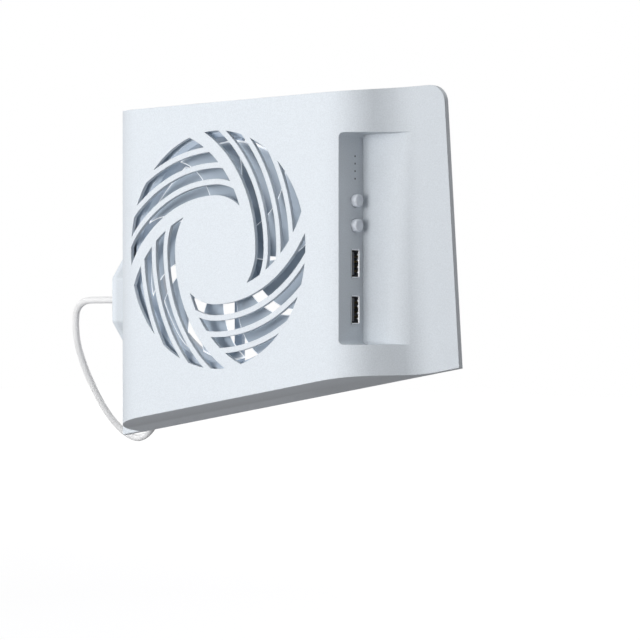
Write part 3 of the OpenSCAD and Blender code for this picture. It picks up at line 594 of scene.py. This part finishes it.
class Workshop:
    """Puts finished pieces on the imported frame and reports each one."""

    def __init__(self, frame: dict) -> None:
        """Keep the loaded frame and an empty set of finishes.
        """
        self.frame = frame
        self.finishes = Finishes()

    def dress(self, node: str, slot: str, finish: str | None = None) -> bpy.types.Object:
        """Give a solid its finish as it is.

        Args:
            node: the solid's name.
            slot: the record's material slot.
            finish: another finish than the slot's own.

        Returns:
            The solid.
        """
        solid = self.frame["nodes"][node]
        solid.data.materials.clear()
        solid.data.materials.append(self.finishes.get(finish or slot))
        LOG.info("%s: solid in %s", node, finish or slot)
        return solid

    def refine(self, node: str, slot: str, finish: str | None = None,
               sharp: float = 28.0) -> bpy.types.Object:
        """Stand a merged, smooth-shaded copy in for a solid.

        Args:
            node: the solid's name.
            slot: the record's material slot.
            finish: another finish than the slot's own.
            sharp: angle in degrees above which an edge stays sharp.

        Returns:
            The copy, on the solid's own body.
        """
        solid = self.frame["nodes"][node]
        made = Shape.of_node(solid).piece(f"{node}_skin", self.finishes.get(finish or slot), sharp)
        made.modifiers.new("even_normals", "WEIGHTED_NORMAL").keep_sharp = True
        return self.seat(made, solid["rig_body"], slot, node)

    def seat(self, made: bpy.types.Object, body: str, slot: str, *nodes: str) -> bpy.types.Object:
        """Let a piece ride on a body and stand for solids.

        Args:
            made: the piece.
            body: the body's name.
            slot: the record's material slot, not used.
            nodes: the solids that it stands for.

        Returns:
            The piece.
        """
        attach(made, body)
        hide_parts(*nodes)
        LOG.info("%s: %d triangles on %s", made.name, len(made.data.polygons), body)
        return made


@dataclass(frozen=True)
class Lamp:
    """A soft oblong lamp, far off in the direction toward, which gives about level of full white.

    One that is not mirrored lights matt surfaces and leaves no highlight.
    """

    name: str
    toward: Vec3
    far: float
    wide: float
    high: float
    level: float
    mirrored: bool = True

    def hang(self) -> None:
        """Add the lamp: were it small, its power would give a facing surface exactly its level."""
        data = bpy.data.lights.new(self.name, "AREA")
        data.shape, data.size, data.size_y = "RECTANGLE", self.wide, self.high
        data.energy = self.level * (math.pi * self.far) ** 2
        made = bpy.data.objects.new(self.name, data)
        place = Vector(self.toward).normalized()
        made.location = place * self.far
        made.rotation_euler = place.to_track_quat("Z", "Y").to_euler()
        made.visible_glossy = self.mirrored
        bpy.context.scene.collection.objects.link(made)


@dataclass
class Studio:
    """Camera at the photograph's place, white surroundings and soft light, most of it from the front."""

    eye: Vec3 = (0.6992, -0.7829, -0.0334)
    look: Vec3 = (-0.63958, 0.76872, -0.00165)
    lens: float = 115.886
    sensor: float = 36.0
    lamps: tuple[Lamp, ...] = (Lamp("wide_left", (-0.24, -0.97, 0.0), 1.7, 2.0, 1.2, 0.52),
                               Lamp("front", (-0.03, -0.99, 0.0), 1.5, 0.5, 0.5, 0.43, False),
                               Lamp("rear", (0.25, 0.92, 0.3), 2.2, 1.6, 1.6, 0.45, False),
                               Lamp("top", (0.1, -0.1, 0.99), 1.8, 1.4, 1.4, 0.25, False))
    ambient: float = 0.2
    floor_z: float = -0.30
    floor_half: float = 5.0
    floor_lines: int = 9
    floor_colour: Colour = (0.3, 0.3, 0.31)
    floor_glow: float = 0.83
    floor_mirrored: float = 0.3
    glow_full: tuple[float, float] = (1.0, 3.0)

    def camera(self) -> None:
        """Set the camera, almost level."""
        data = bpy.data.cameras.new("camera")
        data.sensor_width, data.sensor_fit, data.lens = self.sensor, "HORIZONTAL", self.lens
        data.clip_start = 0.01
        made = bpy.data.objects.new("camera", data)
        made.location = self.eye
        made.rotation_euler = Vector(self.look).to_track_quat("-Z", "Y").to_euler()
        bpy.context.scene.collection.objects.link(made)
        bpy.context.scene.camera = made

    def _seen(self, sheet: NodeSheet, mirrored: float = 1.0) -> Sock:
        """How much of the white surroundings a ray is shown.

        Args:
            sheet: the tree to write to.
            mirrored: the share for reflected rays.

        Returns:
            1 for camera and transmission rays, the share for reflected rays and 0 for the others.
        """
        camera, glossy, through = (sheet.node("ShaderNodeLightPath", output=f"Is {kind} Ray")
                                   for kind in ("Camera", "Glossy", "Transmission"))
        return camera.either(glossy * mirrored).either(through)

    def world(self) -> None:
        """Surroundings that look white, and lend the object only the ambient light."""
        world = bpy.data.worlds.new("white_room")
        bpy.context.scene.world = world
        sheet = NodeSheet(world)
        level = self.ambient + self._seen(sheet) * (1 - self.ambient)
        white = {"Color": (1.0, 1.0, 1.0, 1.0), "Strength": level}
        sheet.node_output(sheet.node("ShaderNodeBackground", inputs=white))

    def floor(self) -> None:
        """A matt floor that takes the shadow. Its glow brings it to about white, and fully so far away."""
        sheet = NodeSheet(bpy.data.materials.new("pale_floor"))
        matt = sheet.node("ShaderNodeBsdfDiffuse", inputs={"Color": (*self.floor_colour, 1.0)})
        away = sheet.node("ShaderNodeVectorMath", {"operation": "LENGTH"}, {0: sheet.place()}, "Value")
        rise = away.spread(*self.glow_full) * (1 - self.floor_glow)
        level = self._seen(sheet, self.floor_mirrored) * (self.floor_glow + rise)
        glow = sheet.node("ShaderNodeEmission", inputs={"Strength": level})
        sheet.node_output(sheet.node("ShaderNodeAddShader", inputs={0: matt, 1: glow}))
        line = np.linspace(-self.floor_half, self.floor_half, self.floor_lines)
        u, v = np.meshgrid(line, line, indexing="ij")
        points = np.stack([u, v, np.full_like(u, self.floor_z)], -1)
        Shape.grid(points, False).piece("floor", sheet.holder, 30.0)

    def build(self) -> None:
        """Camera, lamps and surroundings, with the plain view transform."""
        bpy.context.scene.view_settings.view_transform = "Standard"
        self.camera()
        for lamp in self.lamps:
            lamp.hang()
        self.world()
        self.floor()


@dataclass
class SupplyCord:
    """The white supply cord: out of its boss, down in one bow and round to the plug."""

    route: tuple[Vec3, ...] = (
        (-86.3, -8, -24.5), (-99.2, -8, -24.5), (-108.5, -8, -24.7), (-114.4, -7.5, -26.6),
        (-118.1, -6.8, -29.8), (-119.9, -6, -34.2), (-121, -5, -39.6), (-121.9, -3, -47.3), (-122.2, 0, -55),
        (-121.9, 4, -63.8), (-120.9, 8.5, -72.7), (-119.2, 13, -81.4), (-116.6, 17.5, -89.2),
        (-113.1, 21.5, -95.2), (-108.8, 24.3, -99), (-103.6, 26.2, -100.2), (-98, 27, -97.7),
        (-92.6, 27, -92.7), (-87.9, 27, -87.2), (-83.2, 27, -82.2), (-78.2, 27, -79.2), (-73, 27, -78.6),
        (-68.9, 27, -78.6))
    radius: float = 1.8 * MM
    sides: int = 20
    steps: int = 8
    grip_long: float = 18 * MM
    grip_wide: float = 15 * MM
    grip_high: float = 7.6 * MM
    grip_rings: int = 40
    grip_sides: int = 64
    # Shares of the grip's length or width: at the cord, at the waist and at the nose
    neck_wide: float = 0.42
    neck_high: float = 0.62
    neck_long: float = 0.3
    waist_in: float = 0.05
    waist_at: float = 0.55
    waist_long: float = 0.12
    nose_in: float = 0.06
    nose_long: float = 0.04
    # Power of the oval that the grip's section is, 2 for an ellipse
    squareness: float = 5.0
    cord_sharp: float = 60.0
    grip_sharp: float = 50.0

    def path(self) -> np.ndarray:
        """Catmull-Rom curve through the route: each span is a cubic whose end slopes join its neighbours.

        Returns:
            The points of the cord's middle line, in metres.
        """
        p = np.array(self.route) * MM
        p = np.vstack([2 * p[0] - p[1], p, 2 * p[-1] - p[-2]])
        t = np.linspace(0, 1, self.steps, endpoint=False)[None, :, None]
        a, b, c, d = (p[i:len(p) - 3 + i, None, :] for i in range(4))
        bow, twist = 2 * a - 5 * b + 4 * c - d, 3 * b - a - 3 * c + d
        spans = 0.5 * (2 * b + (c - a) * t + bow * t ** 2 + twist * t ** 3)
        return np.vstack([spans.reshape(-1, 3), p[-2]])

    def sleeve(self) -> Shape:
        """A circle carried along the path, square to its tangent.

        Returns:
            The skin, with UV values that go up and down once round, and in metres along.
        """
        path = self.path()
        ahead = np.gradient(path, axis=0)
        ahead /= np.linalg.norm(ahead, axis=1, keepdims=True)
        out = np.cross(ahead, (0.0, 1.0, 0.0))
        out /= np.linalg.norm(out, axis=1, keepdims=True)
        over = np.cross(out, ahead)
        a = np.linspace(0, 2 * np.pi, self.sides, endpoint=False)[None, :, None]
        ring = self.radius * (np.cos(a) * out[:, None] + np.sin(a) * over[:, None])
        skin = path[:, None, :] + np.vstack([ring[:1] * 0, ring[1:-1], ring[-1:] * 0])
        run = np.concatenate([[0], np.cumsum(np.linalg.norm(np.diff(path, axis=0), axis=1))])
        shape = Shape.grid(skin, True)
        turn = np.abs(np.linspace(-1, 1, self.sides, endpoint=False))
        shape.run = np.stack([np.tile(turn, len(path)), np.repeat(run, self.sides)], -1)
        return shape

    def grip(self) -> Shape:
        """The plug's grip: a squared oval carried along X.

        Its size grows from the neck along a quarter of an ellipse, dips by a bell curve at the waist and
        rounds off along another quarter at the nose. Towards the neck the height shrinks less than the width.

        Returns:
            The closed skin.
        """
        u = np.linspace(0, 1, self.grip_rings)[:, None]
        a = np.linspace(0, 2 * np.pi, self.grip_sides, endpoint=False)[None, :]
        rise = np.clip(1 - (1 - np.clip(u / self.neck_long, 0, 1)) ** 2, 0, 1)
        neck = self.neck_wide + (1 - self.neck_wide) * np.sqrt(rise)
        waist = 1 - self.waist_in * np.exp(-((u - self.waist_at) / self.waist_long) ** 2)
        last = np.clip((u - 1 + self.nose_long) / self.nose_long, 0, 1)
        nose = np.sqrt(np.clip(1 - last ** 2, 0, 1)) * self.nose_in + 1 - self.nose_in
        power = self.squareness
        oval = (np.abs(np.cos(a)) ** power + np.abs(np.sin(a)) ** power) ** (-1 / power)
        reach = neck * waist * nose * oval
        wide = self.grip_wide / 2 * reach * np.cos(a)
        high = self.grip_high / 2 * np.maximum(reach, self.neck_high * oval) * np.sin(a)
        x0, y0, z0 = np.array(self.route[-1]) * MM
        skin = np.stack([x0 + self.grip_long * (u + 0 * a), y0 + wide, z0 + high], -1)
        ends = np.array([[[x0, y0, z0]], [[x0 + self.grip_long, y0, z0]]])
        caps = np.broadcast_to(ends, (2, self.grip_sides, 3))
        return Shape.grid(np.concatenate([caps[:1], skin, caps[1:]]), True)

    def build(self, shop: Workshop) -> None:
        """Cord, gland and plug."""
        cord = self.sleeve().piece("cord_sleeve", shop.finishes.get("cord"), self.cord_sharp)
        shop.seat(cord, "housing", "cord", "supply_cord")
        grip = self.grip().piece("plug_grip", shop.finishes.get("grip"), self.grip_sharp)
        shop.seat(grip, "housing", "cord", "plug_body")
        shell = shop.refine("plug_shell", "plated_steel")
        others = [shop.dress("plug_insulator", "black_plastic"), shop.dress("plug_contacts", "gold")]
        shop.refine("cord_gland", "cord", "grip")


@dataclass
class Rotor:
    """The hub with its blades, and the motor pieces that turn with it."""

    hub_r: float = 21.0 * MM
    hub_in: float = 19.4 * MM
    hub_front: float = -19.5 * MM
    hub_back: float = -8.0 * MM
    ceiling: float = -17.9 * MM
    boss_r: float = 3.0 * MM
    boss_back: float = -16.75 * MM
    root: float = 20.4 * MM
    tip: float = 55.5 * MM
    front: float = -18.7 * MM
    back: float = -8.4 * MM
    thick_root: float = 1.5 * MM
    thick_tip: float = 0.9 * MM
    span: float = 37.0
    sweep: float = 16.0
    blades: int = 9
    hub_round: float = 1.2 * MM
    sharp: float = 35.0
    # Powers of s in the depth and in the rounding of the edges
    fall_power: float = 0.8
    nose_power: int = 16
    # Shares of a blade: rounded tip, depth lost at the tip, thickness kept at the edges
    tip_round: float = 0.03
    tip_flat: float = 0.25
    edge_thick: float = 0.35
    # Where the painted highlight on the edges begins and the width over which it grows, along q and along the
    # chord
    rim_q: tuple[float, float] = (0.965, 0.03)
    rim_s: tuple[float, float] = (0.955, 0.04)

    def blade(self) -> Shape:
        """One blade: s runs over the chord on one side and back on the other, q from root to tip.

        The radius grows evenly with q. The angle is the span times s less a half, less the sweep times q
        squared. The depth falls along half a cosine of a power of s, less so towards the tip. Half the
        thickness is laid to either side, rounded off at both edges and at the tip.

        Returns:
            The closed skin, whose value for the painted highlight rises to 1 at the tip and at both edges.
        """
        a = np.linspace(0, 2 * np.pi, 72, endpoint=False)[None, :]
        body = 1 - self.tip_round
        arc = np.sin(np.linspace(0, np.pi / 2, 7)[1:])
        q = np.concatenate([[0.0], np.linspace(0, body, 26), 1 - self.tip_round * (1 - arc)])[:, None]
        s = 0.5 - 0.5 * np.cos(a) + 0 * q
        side = np.sign(np.sin(a)) * (np.abs(np.sin(a)) > 1e-9)
        fall = 0.5 - 0.5 * np.cos(np.pi * s ** self.fall_power)
        depth = (self.back - self.front - self.thick_root) * (1 - self.tip_flat * q)
        thick = self.thick_root + (self.thick_tip - self.thick_root) * q
        nose = np.clip(1 - (2 * s - 1) ** self.nose_power, 0, 1) ** 0.5
        end = np.clip(1 - (np.clip(q - body, 0, 1) / self.tip_round) ** 2, 0, 1) ** 0.5
        end[0] = 0.0
        half = thick / 2 * (self.edge_thick + (1 - self.edge_thick) * np.sin(np.pi * s)) * nose * end
        turn = np.radians(self.span * (s - 0.5) - self.sweep * q ** 2)
        r = self.root + (self.tip - self.root) * q
        y = (self.front + self.back) / 2 + (fall - 0.5) * depth + side * half
        # Painted highlight, strongest at the tip and at both edges
        rim = np.maximum(np.clip((q - self.rim_q[0]) / self.rim_q[1], 0, 1),
                         np.clip((np.abs(2 * s - 1) - self.rim_s[0]) / self.rim_s[1], 0, 1))
        return Shape.grid(np.stack([r * np.sin(turn), y, r * np.cos(turn)], -1), True, rim)

    def hub(self) -> Shape:
        """The hub's profile of radius and depth, turned about the fan axis.

        The profile runs from the axis over the front face and its rounded edge to the rear, then back inside
        to the ceiling and over the boss that holds the shaft.

        Returns:
            The closed skin.
        """
        bend, front, inner = np.linspace(0, np.pi / 2, 9), self.hub_front, self.hub_r - self.hub_round
        edge = np.stack([inner + self.hub_round * np.sin(bend),
                         front + self.hub_round - self.hub_round * np.cos(bend)], -1)
        face = [[0.0, front], [0.6 * self.hub_r, front]]
        cup = [[self.hub_r, self.hub_back], [self.hub_in, self.hub_back], [self.hub_in, self.ceiling]]
        boss = [[self.boss_r, self.ceiling], [self.boss_r, self.boss_back], [0.0, self.boss_back]]
        line = np.vstack([face, edge, cup, boss])
        a = np.linspace(0, 2 * np.pi, 96, endpoint=False)[:, None]
        skin = np.stack([line[:, 0] * np.sin(a), line[:, 1] + 0 * a, line[:, 0] * np.cos(a)], -1)
        return Shape.grid(skin.transpose(1, 0, 2), True)

    def build(self, shop: Workshop) -> None:
        """Blades and hub as one moulding, then the yoke, magnet, shaft and clip."""
        one = self.blade()
        turns = [one.turned(2 * math.pi * k / self.blades) for k in range(self.blades)]
        finish = shop.finishes.get("rotor_plastic")
        wheel = Shape.join([self.hub(), *turns]).piece("rotor_moulding", finish, self.sharp)
        shop.seat(wheel, "rotor", "rotor_plastic", "fan_rotor")
        shop.refine("rotor_yoke", "steel")
        shop.refine("rotor_magnet", "magnet")
        shop.refine("rotor_shaft", "steel")
        shop.refine("shaft_clip", "nylon")


@dataclass
class Fan:
    """The fan's fixed half: frame, stator, motor board and screws."""

    frame_sharp: float = 28.0

    def build(self, shop: Workshop) -> None:
        """Dress each fixed piece of the fan."""
        shop.refine("fan_frame", "frame_plastic", sharp=self.frame_sharp)
        shop.refine("sleeve_bearing", "bronze")
        shop.refine("stator_core", "steel", "core")
        shop.refine("stator_coils", "copper")
        shop.refine("motor_board", "board")
        shop.refine("bearing_cap", "black_plastic")
        shop.refine("fan_screws", "dark_steel")
        shop.dress("fan_lead", "black_plastic")


@dataclass
class Housing:
    """The moulded front shell, the back cover and the screws between them."""

    sharp: float = 24.0

    def build(self, shop: Workshop) -> None:
        """Dress the two mouldings and their screws."""
        shop.refine("front_shell", "shell_plastic", sharp=self.sharp)
        shop.refine("back_cover", "cover_plastic", sharp=self.sharp)
        shop.refine("case_screws", "dark_steel")


@dataclass
class Button:
    """One button cap, turned about X: flange, shank with a rounded edge and a shallow dish for the finger."""

    z: float
    y: float = -10.7 * MM
    base: float = 75.65 * MM
    front: float = 81.7 * MM
    flange: float = 4.3 * MM
    flange_thick: float = 1.0 * MM
    shank: float = 3.1 * MM
    edge: float = 0.8 * MM
    dish: float = 0.25 * MM
    brim: float = 0.2 * MM
    flat: float = 2.65 * MM
    flat_long: float = 1.6 * MM

    # Points of the line that the flat cuts
    FLAT_POINTS = 5

    def shape(self) -> Shape:
        """A line of depth and radius turned about X, cut flat on one side over its first length.

        The line runs from the axis over the flange and the shank, round the edge along a quarter circle and
        over the brim into a dish that is a parabola.

        Returns:
            The closed skin.
        """
        bend, inner = np.linspace(0, np.pi / 2, 9)[1:], self.shank - self.edge
        hollow = np.linspace(inner - self.brim, 0, 14)
        step, cut = self.base + self.flange_thick, self.base + self.flat_long
        x = np.concatenate([[self.base, self.base, step, step, cut, cut, self.front - self.edge],
                            self.front - self.edge + self.edge * np.sin(bend),
                            self.front - self.dish * (1 - (hollow / hollow[0]) ** 2)])[:, None]
        r = np.concatenate([[0.0, self.flange, self.flange], np.full(4, self.shank),
                            inner + self.edge * np.cos(bend), hollow])[:, None]
        first = np.arange(len(x))[:, None] < self.FLAT_POINTS
        limit = np.where(first, self.flat, self.flange)
        a = np.linspace(0, 2 * np.pi, 64, endpoint=False)[None, :]
        across = np.minimum(r * np.cos(a), limit)
        return Shape.grid(np.stack([x + 0 * a, self.y + across, self.z - r * np.sin(a)], -1), True)


@dataclass
class SocketShell:
    """One USB-A socket shell: a drawn tube with a flared lip, and four spring tips in its rear side."""

    z: float
    y: float = -10.7 * MM
    back: float = 65.0 * MM
    front: float = 79.0 * MM
    wide: float = 13.3 * MM
    high: float = 5.9 * MM
    skin: float = 0.4 * MM
    corner: float = 0.7 * MM
    flare: float = 0.3 * MM
    lip: float = 0.55 * MM
    flare_long: float = 0.2 * MM
    flare_in: float = 0.08 * MM
    tip_r: float = 0.45 * MM
    tip_in: float = 0.3 * MM
    tips: tuple[float, ...] = (-4.3 * MM, -1.65 * MM, 1.65 * MM, 4.3 * MM)

    def tube(self) -> Shape:
        """A closed line of offset and depth carried round an oblong with round corners.

        The line runs forward on the outer face, out to the flare, back over the lip along a quarter of an
        ellipse and down the inner face. Each corner is a quarter circle whose radius grows by the offset.

        Returns:
            The closed skin.
        """
        t = np.linspace(0, np.pi / 2, 8)
        offset = np.concatenate([[0.0, 0.0, self.flare], self.flare - (self.flare + self.skin) * np.sin(t),
                                 [-self.skin, 0.0]])[:, None]
        flared = self.front - self.flare_in
        x = np.concatenate([[self.back, flared - self.flare_long, flared],
                            self.front - self.lip * (1 - np.cos(t)), [self.back, self.back]])[:, None]
        quarter = np.arange(4) * np.pi / 2
        bend = np.linspace(0, np.pi / 2, 7)
        a = (quarter[:, None] + bend).reshape(1, -1)
        side = np.repeat(quarter + np.pi / 4, len(bend))[None, :]
        across = np.sign(np.cos(side)) * (self.high / 2 - self.corner) + (self.corner + offset) * np.cos(a)
        along = np.sign(np.sin(side)) * (self.wide / 2 - self.corner) + (self.corner + offset) * np.sin(a)
        return Shape.grid(np.stack([x + 0 * a, self.y + across, self.z - along], -1), True)

    def tip(self, along: float) -> Shape:
        """Half a ball on the inner face: the polar angle runs down the rows and the other round them.

        Args:
            along: its place across the socket's width.

        Returns:
            The skin, open where it meets the face.
        """
        u = np.linspace(0, np.pi / 2, 9)[:, None]
        a = np.linspace(0, 2 * np.pi, 20, endpoint=False)[None, :]
        ball = np.stack([np.sin(u) * np.cos(a), -np.cos(u) + 0 * a, np.sin(u) * np.sin(a)], -1)
        middle = (self.front - self.lip - self.tip_in, self.y + self.high / 2 - self.skin, self.z + along)
        return Shape.grid(np.array(middle) + self.tip_r * ball, True)

    def shape(self) -> Shape:
        """The tube with its tips."""
        return Shape.join([self.tube(), *(self.tip(along) for along in self.tips)])


@dataclass
class Controls:
    """Board, buttons, lamps and sockets in the control recess."""

    button_z: tuple[float, float] = (22.3 * MM, 10.4 * MM)
    socket_z: tuple[float, float] = (-7.9 * MM, -30.1 * MM)
    cap_sharp: float = 40.0
    shell_sharp: float = 50.0

    def build(self, shop: Workshop) -> None:
        """Dress what stands on the board, upper and lower alike."""
        shop.dress("control_board", "board")
        shop.refine("board_screws", "steel")
        shop.dress("control_chip", "black_plastic")
        shop.dress("status_leds", "lamp")
        shop.refine("light_guide", "clear_plastic")
        shop.dress("lead_sockets", "nylon")
        shop.dress("supply_lead", "cord", "grip")
        satin, plate = shop.finishes.get("button_plastic"), shop.finishes.get("plated_steel")
        for end, button_z, socket_z in zip(("upper", "lower"), self.button_z, self.socket_z):
            cap = Button(button_z).shape().piece(f"button_{end}_cap", satin, self.cap_sharp)
            shop.seat(cap, f"{end}_button", "shell_plastic", f"button_{end}")
            shop.dress(f"switch_{end}", "black_plastic")
            shop.refine(f"plunger_{end}", "black_plastic")
            shell = SocketShell(socket_z).shape().piece(f"usb_shell_{end}_drawn", plate, self.shell_sharp)
            shop.seat(shell, "housing", "plated_steel", f"usb_shell_{end}")
            shop.dress(f"usb_tongue_{end}", "black_plastic", "tongue")
            shop.dress(f"usb_contacts_{end}", "gold")


def main() -> None:
    """Build the part's looks in order."""
    logging.basicConfig(level=logging.INFO, format="%(message)s")
    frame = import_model()
    shop = Workshop(frame)
    Studio().build()
    SupplyCord().build(shop)
    Housing().build(shop)
    Fan().build(shop)
    Rotor().build(shop)
    Controls().build(shop)


if __name__ == "__main__":
    main()
